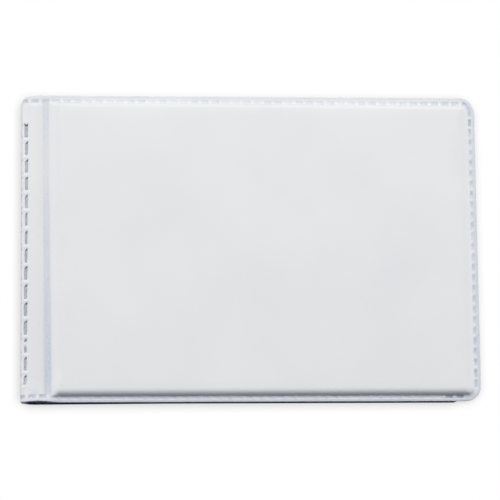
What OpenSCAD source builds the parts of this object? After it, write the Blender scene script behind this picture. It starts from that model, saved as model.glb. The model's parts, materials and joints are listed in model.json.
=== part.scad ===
// Business card book: a heat-sealed vinyl cover with board panels and clear pocket leaves.
// Millimetres. X runs from the spine (-X) to the fore edge (+X), Y along the spine, Z up through
// the closed book. The origin is under the middle of the closed book, on the surface it lies on.

/* [Cover] */
// Width of the closed cover, spine to fore edge
cover_w = 109; // [80:0.5:160]
// Height of the cover along the spine
cover_h = 73; // [50:0.5:130]
// Radius of the fore-edge corners of the cover
corner_r = 3.5; // [3:0.1:12]
// Radius of the corners at the ends of the spine
spine_corner_r = 1.5; // [0.5:0.1:3]
// Thickness of the outer vinyl skin
skin_t = 0.35; // [0.25:0.01:0.6]
// Thickness of the inner vinyl liner
liner_t = 0.25; // [0.15:0.01:0.5]
// Thickness of the board in each cover
board_t = 1; // [0.6:0.05:2.5]
// Width of the flat welded border round each panel
border_w = 1.55; // [1.5:0.05:4]
// Width of the rounded shoulder from the border up to the panel
shoulder_w = 2.15; // [1.2:0.05:4]
// Width of the shoulder beside the hinge groove
hinge_shoulder_w = 2.4; // [0.8:0.05:3]

/* [Spine and hinges] */
// Spine edge to the middle of the hinge groove
strip_w = 6.1; // [5:0.1:12]
// Inside radius of the folds along the spine
inner_fold_r = 0.2; // [0.1:0.05:1]
// Depth of the pressed hinge groove
groove_depth = 0.2; // [0.1:0.01:0.24]
// Middle of the groove to the foot of the panel
groove_to_panel = 1; // [0.9:0.05:3]
// Gap between panel and spine strip when a cover is folded right back
fold_back_gap = 0.3; // [0.1:0.05:1]
// Slit at the bending line, between the parts on its two sides
hinge_slit = 0.2; // [0.1:0.05:0.5]

/* [Edge weld] */
// Length of one weld dash
dash_l = 1.9; // [1:0.1:4]
// Pitch of the weld dashes
dash_pitch = 2.53; // [2:0.01:6]
// Width of the weld dashes
dash_w = 0.85; // [0.4:0.05:1.1]
// Spine edge to the middle of the first dash on the top and bottom edges
dash_first = 3.15; // [2:0.05:6]
// Edge of the cover to the middle of the dashes
dash_inset = 1.03; // [0.8:0.01:1.4]
// Depth of the weld dashes
dash_depth = 0.15; // [0.05:0.01:0.2]

/* [Spine weld] */
// Number of welds along the spine
spine_weld_count = 15; // [5:1:30]
// Top edge of the cover to the first spine weld
spine_weld_top = 6.3; // [3:0.1:15]
// Length of one spine weld
spine_weld_l = 3.3; // [1:0.1:4]
// Pitch of the spine welds
spine_weld_pitch = 4.3; // [2:0.1:8]
// Width of the spine welds
spine_weld_w = 0.75; // [0.4:0.05:1.2]
// Spine edge to the middle of the spine welds
spine_weld_inset = 1.1; // [0.9:0.05:2]
// Depth of the spine welds
spine_weld_depth = 0.22; // [0.05:0.01:0.24]

/* [Leaves] */
// Number of pocket leaves
leaf_count = 10; // [4:1:14]
// Thickness of the clear film
film_t = 0.1; // [0.05:0.01:0.3]
// Space for a card between the two films of an empty leaf
pocket_gap = 0.05; // [0.03:0.01:0.6]
// Gap from leaf to leaf
leaf_gap = 0.05; // [0.03:0.01:0.3]
// Cover edge to the leaves at their top and bottom
leaf_inset = 0.4; // [0:0.1:5]
// Cover fore edge to the leaves' fore edge
leaf_setback = 5.2; // [1:0.1:10]
// Width of the heat seals round a pocket
seal_w = 2; // [1:0.1:5]
// Break between the bottom seal and the side seals
seal_break = 0.2; // [0.1:0.05:1]
// How much lower the front film ends at the open top of a pocket
thumb_lip = 2.5; // [0:0.1:10]
// Width of the fused root of the leaves at the spine
root_w = 2; // [1:0.1:3]

/* [Hidden] */
$fn = 48;
eps = 0.01;

// Heights of the layers in the closed book, from the table up
leaf_t = 2 * film_t + pocket_gap;
leaf_pitch = leaf_t + leaf_gap;
block_t = leaf_count * leaf_pitch + leaf_gap;
cover_t = board_t + liner_t + skin_t;
book_t = 2 * cover_t + block_t;
liner_z = cover_t + block_t;
border_z = liner_z + liner_t;
strip_z = border_z + skin_t;
middle_z = book_t / 2;

// Places across the book
spine_x = -cover_w / 2;
fore_x = cover_w / 2;
hinge_x = spine_x + strip_w;
strip_x1 = hinge_x - hinge_slit / 2;
turn_x0 = hinge_x + hinge_slit / 2;
panel_x0 = hinge_x + groove_to_panel;
panel_x1 = fore_x - border_w;
panel_y = cover_h / 2 - border_w;

// The bending line lies high enough for the panel to clear the strip when the cover is folded back
hinge_z = strip_z + (board_t + fold_back_gap) / 2;
groove_r = hinge_z - strip_z + groove_depth;

// Outside radius of the spine folds, limited by the height of the spine
fold = min(inner_fold_r + liner_t + skin_t, 0.9 * (strip_z - middle_z));

// Shoulders are arcs that are level with the panel at the top
panel_corner_r = max(corner_r - border_w, shoulder_w + hinge_slit);
panel_foot = skin_t / 2;
shoulder_r = arc_radius(shoulder_w, board_t);
hinge_shoulder_r = arc_radius(hinge_shoulder_w, board_t);

// Leaf outline
leaf_x1 = fore_x - leaf_setback;
leaf_y = cover_h / 2 - leaf_inset;

SIDES = ["front", "back"];
LEAF_PIECES = ["front_film", "back_film", "heat_seals"];

// Radius of an arc that rises by rise over run and ends level
function arc_radius(run, rise) = (run * run + rise * rise) / (2 * rise);

// Run of the arc that lies a distance inside another one, for the same rise
function inner_run(r, rise) = sqrt(2 * rise * r - rise * rise);

function leaf_node(k, piece) = str("leaf_", k < 10 ? "0" : "", k, "_", piece);

// Underside of leaf k, counted from the front cover
function leaf_z(k) = liner_z - k * leaf_pitch;

// Moves what is drawn for the front cover to the back cover
module on_side(side) {
    if (side == "front") children();
    else translate([0, 0, book_t]) mirror([0, 0, 1]) children();
}

// Outline between x0 and x1 with its fore-edge corners rounded, as a plate
module fore_plate(x0, x1, y, r, t) {
    translate([x0, -y, 0]) cube([x1 - r - x0, 2 * y, t]);
    translate([x1 - r - eps, -y + r, 0]) cube([r + eps, 2 * (y - r), t]);
    for (s = [-1, 1]) translate([x1 - r, s * (y - r), 0]) cylinder(r = r, h = t);
}

// Section of a panel between two places, with its shoulder at the far end and a foot below z = 0
module shoulder_section(from, to, run, r, rise) {
    translate([from, -panel_foot]) square([to - from, panel_foot]);
    intersection() {
        translate([from, 0]) square([to - from, rise]);
        union() {
            translate([from, 0]) square([to - run - from, rise]);
            translate([to - run, rise - r]) circle(r = r, $fn = 96);
        }
    }
}

// Panel with rounded shoulders on its four sides, rising from z = 0
module raised_panel(x0, x1, y, corner, run, r, hinge_run, hinge_r, rise) {
    reach = x1 - x0;
    intersection() {
        union() {
            for (s = [0, 1])
                translate([x0, 0, 0]) mirror([0, s, 0]) rotate([90, 0, 90])
                    linear_extrude(reach - corner) shoulder_section(-eps, y, run, r, rise);
            translate([x1 - corner, y - corner, 0]) rotate([90, 0, 0])
                linear_extrude(2 * (y - corner)) shoulder_section(-eps, corner, run, r, rise);
            for (s = [0, 1])
                mirror([0, s, 0]) translate([x1 - corner, y - corner, 0])
                    rotate_extrude(angle = 90) shoulder_section(0, corner, run, r, rise);
        }
        translate([x0, y + eps, 0]) rotate([90, 0, 0])
            linear_extrude(2 * (y + eps))
                mirror([1, 0]) shoulder_section(-reach - eps, 0, hinge_run, hinge_r, rise);
    }
}

// Middles of a row of dashes of the given pitch that fits between two points
function dash_row(from, to) =
    let (count = floor((to - from - dash_l) / dash_pitch) + 1)
    let (first = (from + to - (count - 1) * dash_pitch) / 2)
    [for (i = [0 : count - 1]) first + i * dash_pitch];

// Stitched-look weld along the top and bottom edges, as far as it lies between two places
module edge_weld(x0, x1) {
    for (s = [-1, 1])
        for (x = [spine_x + dash_first : dash_pitch : fore_x - corner_r - dash_l / 2])
            if (x + dash_l / 2 > x0 && x - dash_l / 2 < x1)
                translate([x, s * (cover_h / 2 - dash_inset), strip_z])
                    cube([dash_l, dash_w, 2 * dash_depth], center = true);
}

// The same weld along the fore edge, with an unbroken stretch round each corner
module fore_edge_weld() {
    for (y = dash_row(corner_r - cover_h / 2, cover_h / 2 - corner_r))
        translate([fore_x - dash_inset, y, strip_z])
            cube([dash_w, dash_l, 2 * dash_depth], center = true);
    for (s = [-1, 1])
        translate([fore_x - corner_r, s * (cover_h / 2 - corner_r), strip_z - dash_depth])
            corner_dash(s);
}

// Unbroken stretch of the edge weld, over the middle of a fore-edge corner
module corner_dash(s) {
    bend_r = corner_r - dash_inset;
    sweep = 80;
    rotate([0, 0, s * 45 - sweep / 2])
        rotate_extrude(angle = sweep)
            translate([bend_r - dash_w / 2, 0]) square([dash_w, 2 * dash_depth]);
}

// Heavy welds along the spine, cut into the strip
module spine_weld() {
    first_y = cover_h / 2 - spine_weld_top - spine_weld_l / 2;
    straight = spine_weld_l - spine_weld_w;
    for (i = [0 : spine_weld_count - 1])
        translate([spine_x + spine_weld_inset, first_y - i * spine_weld_pitch, strip_z - spine_weld_depth]) {
            translate([-spine_weld_w / 2, -straight / 2, 0])
                cube([spine_weld_w, straight, spine_weld_depth + eps]);
            for (s = [-1, 1])
                translate([0, s * straight / 2, 0]) cylinder(d = spine_weld_w, h = spine_weld_depth + eps);
        }
}

// Pressed groove along the bending line
module hinge_groove() {
    translate([hinge_x, 0, hinge_z]) rotate([90, 0, 0])
        cylinder(r = groove_r, h = cover_h + 2 * groove_r, center = true);
}

// Full section of the spine, inset from its outer face and cut off at right
module spine_section(inset, right) {
    low = book_t - strip_z + inset;
    high = strip_z - inset;
    bend = fold - inset;
    left = spine_x + inset;
    translate([left + bend, low]) square([right - left - bend, high - low]);
    translate([left, low + bend]) square([bend + eps, high - low - 2 * bend]);
    for (z = [low + bend, high - bend]) translate([left + bend, z]) circle(r = bend);
}

// One folded layer of the spine between two insets, with the corners at its ends rounded
module folded_layer(outer, inner) {
    intersection() {
        translate([0, cover_h / 2, 0]) rotate([90, 0, 0])
            linear_extrude(cover_h)
                difference() {
                    spine_section(outer, strip_x1);
                    spine_section(inner, hinge_x);
                }
        mirror([1, 0, 0])
            fore_plate(-hinge_x, -spine_x, cover_h / 2, spine_corner_r, book_t);
    }
}

module spine_skin() {
    color("whitesmoke")
        difference() {
            folded_layer(0, skin_t);
            for (side = SIDES) on_side(side) {
                hinge_groove();
                spine_weld();
                edge_weld(spine_x, strip_x1);
            }
        }
}

module spine_liner() {
    color("gainsboro") folded_layer(skin_t, skin_t + liner_t);
}

// Leaf margins, fused into one root at the spine and separate towards the bending line
module leaf_binding() {
    root_x = spine_x + fold;
    margin_t = 2 * film_t;
    color("lightcyan")
        translate([0, leaf_y, 0]) rotate([90, 0, 0])
            linear_extrude(2 * leaf_y) {
                translate([root_x, cover_t]) square([root_w, block_t]);
                for (k = [1 : leaf_count])
                    translate([root_x, leaf_z(k) + pocket_gap / 2])
                        square([strip_x1 - root_x, margin_t]);
            }
}

module cover_skin(side) {
    inner_r = shoulder_r - skin_t;
    inner_hinge_r = hinge_shoulder_r - skin_t;
    inner_w = inner_run(inner_r, board_t);
    inner_hinge_w = inner_run(inner_hinge_r, board_t);
    toe = shoulder_w - inner_w;
    hinge_toe = hinge_shoulder_w - inner_hinge_w;
    color("whitesmoke") on_side(side)
        difference() {
            union() {
                translate([0, 0, border_z])
                    fore_plate(turn_x0, fore_x, cover_h / 2, corner_r, skin_t);
                translate([0, 0, strip_z])
                    raised_panel(panel_x0, panel_x1, panel_y, panel_corner_r, shoulder_w, shoulder_r,
                        hinge_shoulder_w, hinge_shoulder_r, board_t);
            }
            translate([0, 0, border_z])
                raised_panel(panel_x0 + hinge_toe, panel_x1 - toe, panel_y - toe, panel_corner_r - toe,
                    inner_w, inner_r, inner_hinge_w, inner_hinge_r, board_t);
            hinge_groove();
            edge_weld(turn_x0, fore_x);
            fore_edge_weld();
        }
}

module cover_board(side) {
    color("tan") on_side(side)
        translate([0, 0, border_z])
            fore_plate(panel_x0 + hinge_shoulder_w, panel_x1 - shoulder_w, panel_y - shoulder_w,
                panel_corner_r - shoulder_w, board_t);
}

module cover_liner(side) {
    color("gainsboro") on_side(side)
        translate([0, 0, liner_z])
            fore_plate(turn_x0, fore_x, cover_h / 2, corner_r, liner_t);
}

module leaf_back_film(k) {
    color("lightblue", 0.4)
        translate([turn_x0, -leaf_y, leaf_z(k)]) cube([leaf_x1 - turn_x0, 2 * leaf_y, film_t]);
}

module leaf_front_film(k) {
    color("lightblue", 0.4)
        translate([turn_x0, -leaf_y, leaf_z(k) + film_t + pocket_gap])
            cube([leaf_x1 - turn_x0, 2 * leaf_y - thumb_lip, film_t]);
}

// Bars of fused film that close a pocket on three sides
module leaf_heat_seals(k) {
    foot_x = turn_x0 + seal_w + seal_break;
    foot_w = leaf_x1 - turn_x0 - 2 * (seal_w + seal_break);
    color("azure", 0.6)
        translate([0, -leaf_y, leaf_z(k) + film_t]) {
            translate([foot_x, 0, 0]) cube([foot_w, seal_w, pocket_gap]);
            for (x = [turn_x0, leaf_x1 - seal_w])
                translate([x, 0, 0]) cube([seal_w, 2 * leaf_y - thumb_lip, pocket_gap]);
        }
}

spine_skin();
spine_liner();
leaf_binding();
for (side = SIDES) {
    cover_skin(side);
    cover_board(side);
    cover_liner(side);
}
for (k = [1 : leaf_count]) {
    leaf_front_film(k);
    leaf_back_film(k);
    leaf_heat_seals(k);
}
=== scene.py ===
import json
import math

import bmesh
import bpy
import numpy as np
from mathutils import Matrix, Vector

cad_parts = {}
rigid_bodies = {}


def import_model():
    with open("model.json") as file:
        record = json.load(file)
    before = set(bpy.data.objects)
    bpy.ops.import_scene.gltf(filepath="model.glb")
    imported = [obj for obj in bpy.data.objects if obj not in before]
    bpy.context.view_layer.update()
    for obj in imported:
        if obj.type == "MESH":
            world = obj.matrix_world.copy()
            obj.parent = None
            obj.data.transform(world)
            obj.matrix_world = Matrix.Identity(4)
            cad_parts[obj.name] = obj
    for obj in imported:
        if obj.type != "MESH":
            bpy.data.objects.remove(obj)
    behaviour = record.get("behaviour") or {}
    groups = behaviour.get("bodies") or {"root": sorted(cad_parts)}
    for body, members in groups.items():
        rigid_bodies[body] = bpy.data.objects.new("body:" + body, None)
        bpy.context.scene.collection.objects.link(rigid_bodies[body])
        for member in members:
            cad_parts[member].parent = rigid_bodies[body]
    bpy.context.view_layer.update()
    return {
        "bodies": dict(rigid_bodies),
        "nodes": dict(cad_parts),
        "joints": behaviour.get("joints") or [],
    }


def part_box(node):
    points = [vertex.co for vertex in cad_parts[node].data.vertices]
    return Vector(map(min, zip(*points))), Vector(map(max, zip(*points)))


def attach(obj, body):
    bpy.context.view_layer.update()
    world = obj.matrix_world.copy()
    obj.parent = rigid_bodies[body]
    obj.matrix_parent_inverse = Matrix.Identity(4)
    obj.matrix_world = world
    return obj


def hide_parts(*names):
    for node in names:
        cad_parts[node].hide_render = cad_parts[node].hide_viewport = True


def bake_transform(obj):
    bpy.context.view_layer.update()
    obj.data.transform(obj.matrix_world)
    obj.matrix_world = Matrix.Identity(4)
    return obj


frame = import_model()
scene = bpy.context.scene
mm = 0.001


# Sizes of the closed book in millimetres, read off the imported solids
def boxMm(node):
    low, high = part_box(node)
    return low / mm, high / mm


skinHigh = boxMm("front_skin")[1]
stripLow, stripHigh = boxMm("spine_skin")
liningLow, liningHigh = boxMm("front_liner")
rootLow, rootHigh = boxMm("leaf_binding")
frontHinge = next(j for j in frame["joints"] if j["name"] == "front_cover_hinge")

spineX, foreX, halfH = stripLow.x, skinHigh.x, skinHigh.y
bookT, stripZ, middleZ = skinHigh.z, stripHigh.z, skinHigh.z / 2
skinT = stripZ - liningHigh.z
liningT = liningHigh.z - liningLow.z
panelT = bookT - stripZ
hingeX = frontHinge["pos_m"][0] / mm


# Small helpers for shapes
def smooth(t):
    t = np.clip(t, 0, 1)
    return t * t * (3 - 2 * t)


def chance(i, salt):
    # a fixed number from 0 to 1 for each place in a row
    return np.modf(np.abs(np.sin(i * 12.9898 + salt * 78.233)) * 43758.5453)[0]


def lines(first, last, *groups, gap=0.02):
    # sorted grid lines from first to last, without near doubles
    inside = sorted(v for group in groups for v in group if first + gap < v < last - gap)
    kept = [first]
    for v in inside:
        if v - kept[-1] > gap:
            kept.append(v)
    return np.array(kept + [last])


# The cover: one sheet of vinyl welded round the boards, with a groove along the spine on each side
cover = {
    "foreCornerR": 3.5,      # fore-edge corners of the outline
    "panelCornerR": 1.4,     # corners of the panel
    "upperSpineCornerR": 2.0,
    "lowerSpineCornerR": 0.5,
    "foldR": 0.8,            # outside of the folds along the spine
    "borderW": 1.55,         # welded border, up to the steepest line of the shoulder
    "fadeFrom": 0.2,         # its tint fades from that far outside the line,
    "fadeOver": 0.3,
    # painted shade: this share of the pressed tint runs up the shoulder, darkest at its foot
    "shoulderShade": 0.8,       # and that share of it runs up the shoulder
    "hingeShoulderW": 2.6,   # shoulder beside the groove
    "narrowing": 0.3,        # share of it that is lost near the lower edge,
    "narrowFrom": 28,        # from that far below the middle of the book
    "narrowOver": 6,
    "grooveToPanel": 0.9,
    "rimW": 5.4,             # fine rim of the mesh
    "edgeRound": 0.06,       # cut edge of the sheet
    "squeeze": 0.2,          # how much of the skin's thickness a weld takes
    "crown": 0.1,            # the panel falls off a little towards its edges
    "crownW": 3.8,
    "leastT": 0.12,          # the dies leave the skin that thick
    "cornerFade": 2.6,       # how fast the corners at the spine straighten towards the panel
    "topSpread": (0.12, 0.36),  # the weld squeezes the upper border out, at the spine and at the fore edge
    "spreadW": 2.2,
    "askew": (-0.28, 0.26),  # the back cover lies out of line, at the spine and at the fore edge
    "squareUp": 3,           # and leaves the line of the spine over this width
}
borderWaves = ((0.02, 0.9, 0.37, 0), (0.015, 0.31, -1.3, 2))  # height, rate along x and y, start
# The strip between spine and groove is soft, with nothing but the leaf roots below it
stripForm = {
    "puff": 0.2,             # how far it swells between its welds
    "fromSpine": 1.7, "spineRise": 1.2, "toGroove": 2.8, "grooveFall": 2.2,
    "fromEnd": 1.4, "upperRise": 0.9, "lowerRise": 2.2,
    "tone": 0.07, "toneFrom": 10, "toneOver": 30,  # its lower half is a little bluer
    "drawIn": (0.3, 0.04),   # how far the weld rows at its upper and lower end draw in
    "drawLength": 10,
    "lipOut": 0.2,           # the upper lip stays out
    "lipW": 0.7,
    "bowIn": 0.28,           # its lower end draws in further over the leaf roots
    "bowUp": 0.3,
    "bowW": 5, "bowFrom": 0.3, "bowLength": 9.5,
}
# Each triple holds at the top edge, the bottom edge and the fore edge of a cover. Below the shoulder the skin
# runs out in a hollow, and the lower edge of the front cover hangs over the leaves. Tints are shares of the
# pressed colour; the front cover's higher tints along its bottom edge also paint the shade in that hollow.
flange = {
    "front": {
        "step": (0.92, 0.87, 0.92), "shoulderW": (1.2, 1.8, 3.6), "hollowW": (0.2, 0.8, 0.3),
        # painted shade: the bottom tint and gap tint are raised for the hollow under the lower shoulder
        "slope": (0.0, 0.15, 0.0), "tint": (0.5, 0.6, 0.65), "gapTint": (0.3, 0.9, 0.25),
        "dashTint": (1.25, 0.9, 1.8), "stripTint": (1.15, 1.2, 1.0), "lipTint": (0.15, 0.4, 0.0),
        "tintedW": (0.45, 0.45, 0.8),
    },
    "back": {
        "step": (0.92, 0.92, 0.92), "shoulderW": (2.0, 2.0, 3.0), "hollowW": (0.3, 0.3, 0.3),
        "slope": (0.0, 0.0, 0.0), "tint": (0.35, 0.35, 0.35), "gapTint": (0.3, 0.3, 0.3),
        "dashTint": (0.7, 0.7, 0.7), "stripTint": (0.85, 0.85, 0.85), "lipTint": (0.2, 0.2, 0.0),
        "tintedW": (0.45, 0.45, 0.45),
    },
}
# The outermost line of the border is tinted between the dashes too, and wider halfway up the fore edge
rimTint = {
    "width": 0.45, "wider": 0.35, "fade": 0.25,
    "fromTop": 5, "topOver": 12, "fromBottom": 6, "bottomOver": 8,
}
groove = {
    "depth": 0.12, "flatHalf": 0.52, "wall": 0.42, "skew": 0.01,
    "widen": 0.1, "widenOver": 30,  # wider towards its lower end
    "lowerEnd": 0.9,         # it runs out that far from the lower edge
    "past": 0.6,             # the border hangs from that far past its middle
    # the groove's tint is partly pressed tint, partly painted shade in the groove
    "tint": 0.62, "tintFrom": 0.5, "tintOver": 0.5,
    "paler": 0.3, "palerAt": 20, "palerOver": 10,
    "darker": 0.25, "darkerOver": 32,
    "bendHalf": 1.1,         # half the width that bends when the book opens
}
edgeWeld = {
    "topFirst": 3.18,        # middle of the first whole dash from the spine
    "bottomFirst": 2.69,
    "foreFirst": 5.75,       # and of the first on the fore edge from the top
    "topLast": 4, "bottomLast": 4.2,  # room that the rows leave at the fore corners
    "foreCount": 26, "pitch": 2.53, "length": 1.9, "width": 0.85,
    "inset": (1.2, 1.03, 1.18),  # middle of the row from the top, bottom and fore edge
    "stripWidth": 1.1, "stripWall": 0.42,  # on the strip, on the upper side of both rows
    "depth": (0.1, 0.16, 0.09), "wall": 0.12,
    "lengthLeast": 0.96, "lengthSpread": 0.08, "pressLeast": 0.88, "pressSpread": 0.24, "harderEnd": 0.6,
    "mostPress": 1.2, "meltFrom": 0.95, "meltAndShade": 0.45,
}
cornerWeld = {"to": 86, "fade": 3, "nextDash": 4, "tail": 4.25, "press": 1.18}  # the turns in degrees
spineWeld = {
    "count": 15, "top": 6.85, "pitch": 4.272, "inset": 1.14,
    "length": 3.3, "lengthLeast": 0.95, "lengthSpread": 0.08, "topSpread": 0.1, "lastLength": 2.35,
    "width": 0.88, "widest": 1.04, "downTaper": 0.32, "widthSpread": 0.16, "footTaper": 0.1,
    "narrower": 0.2, "narrowCount": 5,  # the welds after the first are narrower towards the spine
    "lean": 0.12, "slant": 0.55, "hook": 0.35, "lastBend": 0.65,  # the first has a hook, the last one bends
    "depth": 0.34, "footRise": 0.25, "wall": 0.12, "topWall": 0.3, "topSlack": 2.2, "endWall": 0.22,
    "pit": 0.16, "pitLength": 0.22, "pitShare": 0.5, "pitSkew": 0.6, "firstPit": 0.7,
    "skipped": 12, "skip": (0.7, 1.7), "skipWall": (0.3, 0.5), "skipShare": 0.9,  # the die missed a stretch
    "ridge": 0.07, "ridgeHalf": 0.3, "ridgeFade": 0.9, "ridgeOut": 0.5, "ridgeLength": 0.6,
    "dent": 0.13, "dentR": 0.2, "dentTop": 0.15, "dentFoot": 0.1, "dentLeast": 0.3, "dentSpread": 0.7,
    # melted tint and painted shade of each spine weld; the pit and dent shares are painted shade only
    "meltAndShade": 0.48, "pitShade": 0.6, "footMelted": 0.25, "footLength": 0.15, "dentShade": 0.4,
    "meltTint": 3,           # melted places take the pressed tint that much sooner
}
# How hard the die pressed: a level for each row, more of it over a stretch, and single dashes
diePress = {
    "top": 0.35, "topMore": 0.3, "besideGroove": 10, "topFrom": 25, "topOver": 22,
    "topStrip": (0.9, 0.9, 0.75),
    "bottom": 0.5, "bottomStrip": 1.0, "bottomLast": 1.9,
    "fore": 0.45, "foreMore": 0.35, "foreFrom": 17, "foreOver": 14, "foreFirst": (1.3, 0.7),
}
# The lining inside the cover
innerSheet = {
    "channel": 0.3,          # it is drawn down that far under the spine welds
    "channelRise": 0.2, "channelEnd": 1.6, "channelFall": 0.6,
    "gap": 0.01,             # room kept below the skin
    "print": 0.03,           # height of the dashes that print through
    "edgeShare": 0.6,        # its cut edge is rounded by that share of the skin's
}

innerX = foreX - cover["rimW"]
innerY = halfH - cover["rimW"]
panelStart = hingeX + cover["grooveToPanel"] + cover["hingeShoulderW"] + 2  # level from there on
stripEnd = hingeX + 1  # dashes up to there lie on the strip or in the groove
dashEnds = np.array([-1, 1]) * edgeWeld["length"] / 2
dashWalls = np.concatenate([dashEnds, dashEnds * (1 - 2 * edgeWeld["wall"] / edgeWeld["length"])])
weldTops = halfH - spineWeld["top"] - np.arange(spineWeld["count"]) * spineWeld["pitch"]

# Middles of the dashes, how hard the die pressed each one, and the number that varies a row
topDashes = np.arange(spineX + edgeWeld["topFirst"] - edgeWeld["pitch"],
                      foreX - edgeWeld["topLast"], edgeWeld["pitch"])
bottomDashes = np.arange(spineX + edgeWeld["bottomFirst"] - edgeWeld["pitch"],
                         foreX - edgeWeld["bottomLast"], edgeWeld["pitch"])
foreDashes = halfH - edgeWeld["foreFirst"] - edgeWeld["pitch"] * np.arange(edgeWeld["foreCount"])
nearGroove = smooth((diePress["besideGroove"] - topDashes + hingeX) / diePress["besideGroove"])
nearFore = smooth((topDashes - diePress["topFrom"]) / diePress["topOver"])
topPress = diePress["top"] + diePress["topMore"] * nearGroove + diePress["topMore"] * nearFore
topPress[topDashes < stripEnd] = diePress["topStrip"]
bottomPress = np.where(bottomDashes < stripEnd, diePress["bottomStrip"], diePress["bottom"])
bottomPress[-2:] = diePress["bottomLast"]
lowDown = smooth((-foreDashes - diePress["foreFrom"]) / diePress["foreOver"])
forePress = diePress["fore"] + diePress["foreMore"] * lowDown
forePress[:2] = diePress["foreFirst"]
topRow = (topDashes, topPress, 11)
bottomRow = (bottomDashes, bottomPress, 21)
foreRow = (foreDashes, forePress, 31)


def grooveX(y):
    return hingeX - groove["skew"] * y


def dashPress(v, centres, press, salt):
    # 0 on the sheet, up to about 1 in the dashes of a row, and more towards one end of some
    w = edgeWeld
    step = centres[1] - centres[0]
    i = np.clip(np.round((v - centres[0]) / step), 0, len(centres) - 1).astype(int)
    half = w["length"] / 2 * (w["lengthLeast"] + w["lengthSpread"] * chance(i, salt))
    inside = np.clip((half - np.abs(v - centres[i])) / w["wall"], 0, 1)
    harder = 1 + w["harderEnd"] * chance(i, salt + 2) * smooth((v - centres[i]) / half)
    return inside * press[i] * (w["pressLeast"] + w["pressSpread"] * chance(i, salt + 1)) * harder


def alongSides(b, values):
    # from the value at the top edge to the one at the bottom edge, and over to the one at the fore edge
    top, bottom, fore = values
    level = top + (bottom - top) * (0.5 - b["y"] / (2 * halfH))
    return level + (fore - level) * b["fore"]


def atSide(b, key):
    return alongSides(b, b["flange"][key])


def panelHeight(b):
    # level on top, steepest at the edge of the border and hollow below it, but soft beside the groove
    step, width, hollowW, slope = [atSide(b, key) for key in ("step", "shoulderW", "hollowW", "slope")]
    steepest = 3 * step / width
    fromBorder = np.clip((b["d"] - cover["borderW"]) / width, 0, 1)
    below = np.clip(cover["borderW"] - b["d"], 0, None)
    hollow = 1 - (1 - np.clip(below / hollowW, 0, 1)) ** 3
    fromCrown = np.clip((b["d"] - cover["borderW"]) / cover["crownW"], 0, 1)
    drop = step * (1 - fromBorder) ** 3 + cover["crown"] * (1 - fromCrown) ** 2
    drop = drop + slope * below + (steepest - slope) * hollowW / 3 * hollow
    border = np.minimum(panelT - drop, 0)
    narrower = 1 - cover["narrowing"] * smooth((-b["y"] - cover["narrowFrom"]) / cover["narrowOver"])
    fromGroove = (b["u"] - grooveX(b["y"]) - cover["grooveToPanel"]) / (cover["hingeShoulderW"] * narrower)
    return border * pastGroove(b) + (panelT - drop - border) * smooth(fromGroove)


def pastGroove(b):
    # the border hangs beside the panel only, not on the strip
    return smooth(b["u"] - grooveX(b["y"]) - groove["past"])


def droop(b):
    # the lining hangs with the border where the skin can't be squeezed any thinner
    return np.clip(-panelHeight(b) - cover["squeeze"], 0, None)


def spineWelds(x, y):
    # depth pressed by the spine welds, height swollen between them, and how far the vinyl melted, which also
    # holds painted shade in the deep welds, in the pit at the upper end of each weld and in the dents at the
    # spine
    w = spineWeld
    i = np.clip(np.round((weldTops[0] - w["length"] / 2 - y) / w["pitch"]), 0, w["count"] - 1)
    first, last = i == 0, i == w["count"] - 1
    length = w["length"] * (w["lengthLeast"] + w["lengthSpread"] * chance(i, 3))
    length = np.where(last, w["lastLength"], length)
    below = weldTops[0] - i * w["pitch"] - w["topSpread"] * chance(i, 4) - y
    share = np.clip(below / length, 0, 1)
    lean = w["lean"] * (chance(i, 5) - 0.5)
    bend = np.where(last, -w["lastBend"] * share ** 7, lean * (share - 0.5))
    narrower = w["narrower"] / 2 * (i > 0) * (1 - smooth((i - w["narrowCount"]) / w["narrowCount"]))
    widthShare = w["widest"] - w["downTaper"] * i / w["count"] + w["widthSpread"] * chance(i, 6)
    half = w["width"] / 2 * widthShare * (1 - w["footTaper"] * share) - narrower
    aside = x - spineX - w["inset"] - bend - narrower
    hook = w["hook"] * np.clip((aside / half) ** 2, 0, 1)
    fromTop = below + np.where(first, hook, w["slant"] * aside)
    slack = 1 + w["topSlack"] * np.clip(-aside / half, 0, 1)
    topWall = np.where(first, w["topWall"], w["topWall"] * slack)
    inWeld = smooth((half - np.abs(aside)) / w["wall"]) * smooth(fromTop / topWall)
    inWeld = inWeld * smooth((length - below) / w["endWall"])
    skipTop, skipFoot = [smooth((below - at) / wall + 0.5) for at, wall in zip(w["skip"], w["skipWall"])]
    inWeld = inWeld * (1 - w["skipShare"] * skipTop * (1 - skipFoot) * (i == w["skipped"]))
    pitShare = np.where(first, w["firstPit"], w["pitShare"] + w["pitSkew"] * aside / half)
    pit = np.exp(-((fromTop - w["topWall"]) / w["pitLength"]) ** 2) * pitShare
    press = inWeld * (w["depth"] * (1 - w["footRise"] * share) + w["pit"] * pit)
    beside = 1 - smooth((np.abs(aside) - w["ridgeHalf"]) / w["ridgeFade"])
    fromRidge = np.minimum(np.abs(below + w["ridgeOut"]), np.abs(below - length - w["ridgeOut"]))
    between = smooth(1 - fromRidge / w["ridgeLength"])
    fromEnd = np.minimum(np.abs(below - w["dentTop"]), np.abs(below - length + w["dentFoot"]))
    dent = np.exp(-((x - spineX) ** 2 + fromEnd ** 2) / w["dentR"] ** 2)
    dent = dent * (w["dentLeast"] + w["dentSpread"] * chance(i, 8))
    foot = np.exp(-((length - below - w["endWall"]) / w["footLength"]) ** 2)
    # painted shade: the melted colour darkens the welds, most in the pit at the upper end and on the dents
    meltAndShade = inWeld * (w["meltAndShade"] + w["pitShade"] * np.clip(pit, 0, 1) + w["footMelted"] * foot)
    meltAndShade = np.maximum(meltAndShade, w["dentShade"] * dent)
    return press + w["dent"] * dent, between * beside * w["ridge"], meltAndShade


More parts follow.
